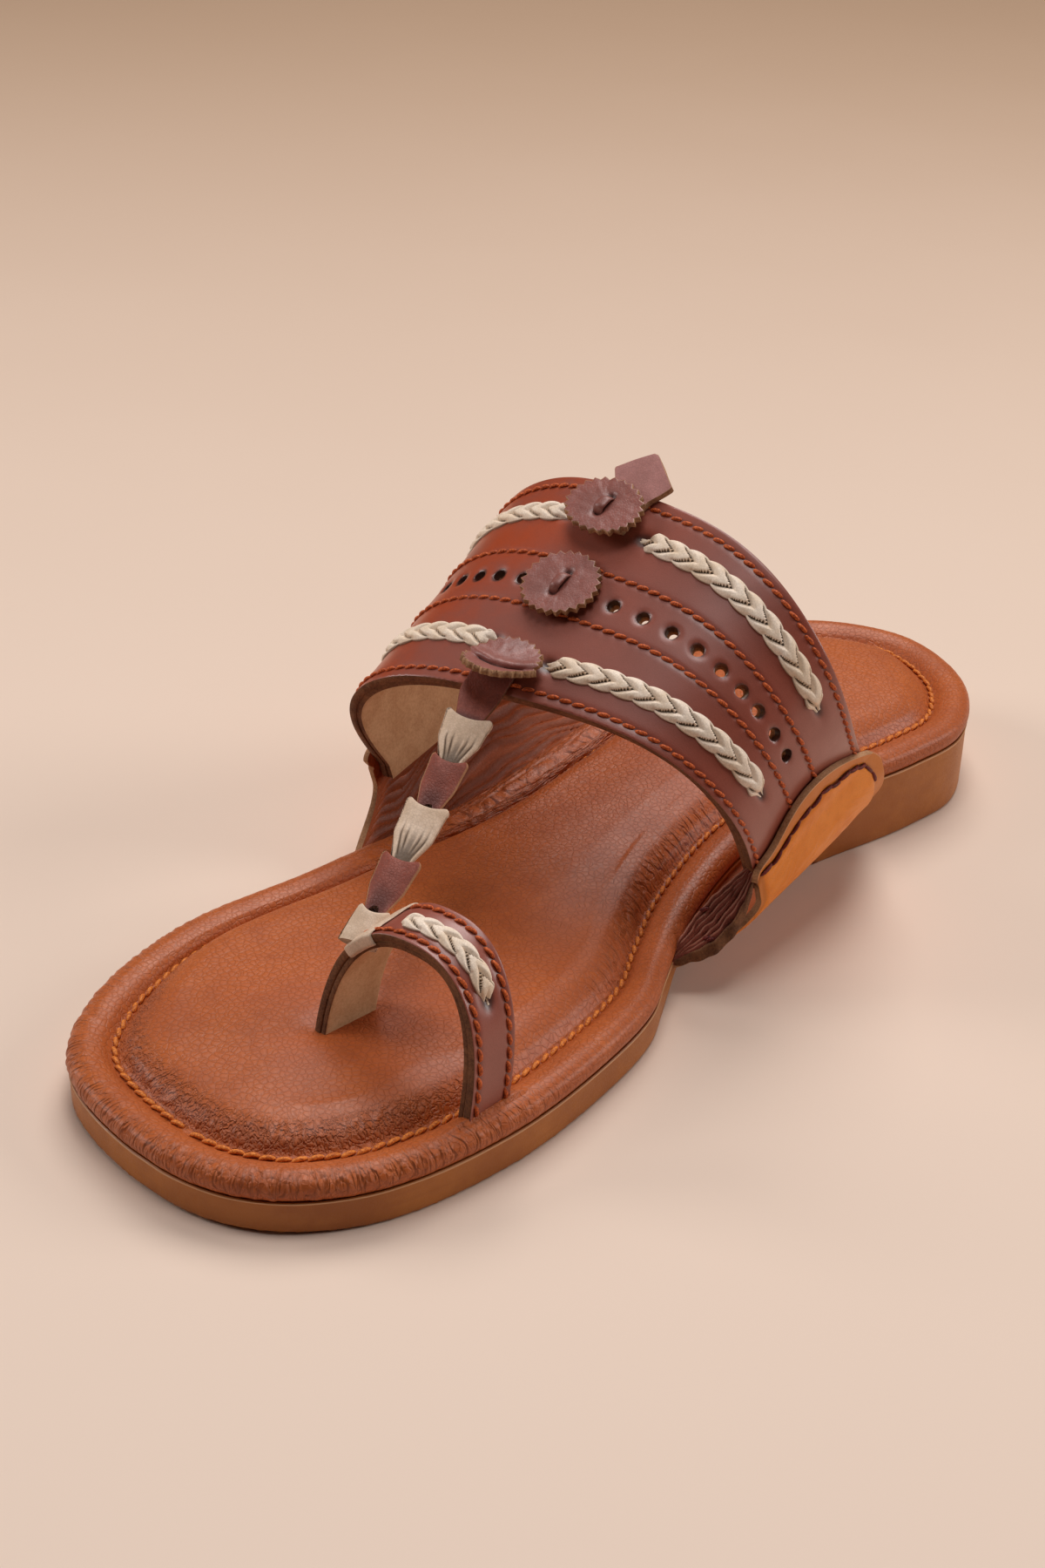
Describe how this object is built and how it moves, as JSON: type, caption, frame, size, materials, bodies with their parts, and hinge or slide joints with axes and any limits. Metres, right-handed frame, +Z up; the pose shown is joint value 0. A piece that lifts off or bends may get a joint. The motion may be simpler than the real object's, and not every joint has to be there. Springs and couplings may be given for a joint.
{
  "type": "kolhapuri sandal",
  "caption": "Slip-on leather toe-loop sandal: padded footbed on a low-heeled rubber sole, wide braided instep band, a link chain to the toe loop, and side flaps at the waist.",
  "frame": {"origin": "middle of the bounding box in plan, on the ground under the sole", "axes": "+Y from the toe to the heel, +Z up, +X to the inner (big toe) side of a right foot"},
  "size_m": [0.1132, 0.2788, 0.1041],
  "materials": {
    "outsole_rubber": "caramel unit sole, satin",
    "footbed_leather": "tan-brown grained leather, padded, soft sheen",
    "band_leather": "plum-brown smooth leather, semi-gloss, suede lined",
    "flap_leather": "tan-orange vegetable-tanned leather with raw pale edge",
    "trim_leather": "plum-brown leather with frayed light edges",
    "braid_leather": "bone-coloured plaited leather"
  },
  "bodies": {
    "root": {"outsole": "outsole_rubber", "footbed": "footbed_leather", "upper": "band_leather", "side_flap_inner": "flap_leather", "side_flap_outer": "flap_leather", "rosette_front": "trim_leather", "rosette_middle": "trim_leather", "rosette_back": "trim_leather", "strap_tail": "trim_leather", "braid_front_inner": "braid_leather", "braid_front_outer": "braid_leather", "braid_back_inner": "braid_leather", "braid_back_outer": "braid_leather", "braid_toe_loop": "braid_leather"}
  },
  "joints": []
}
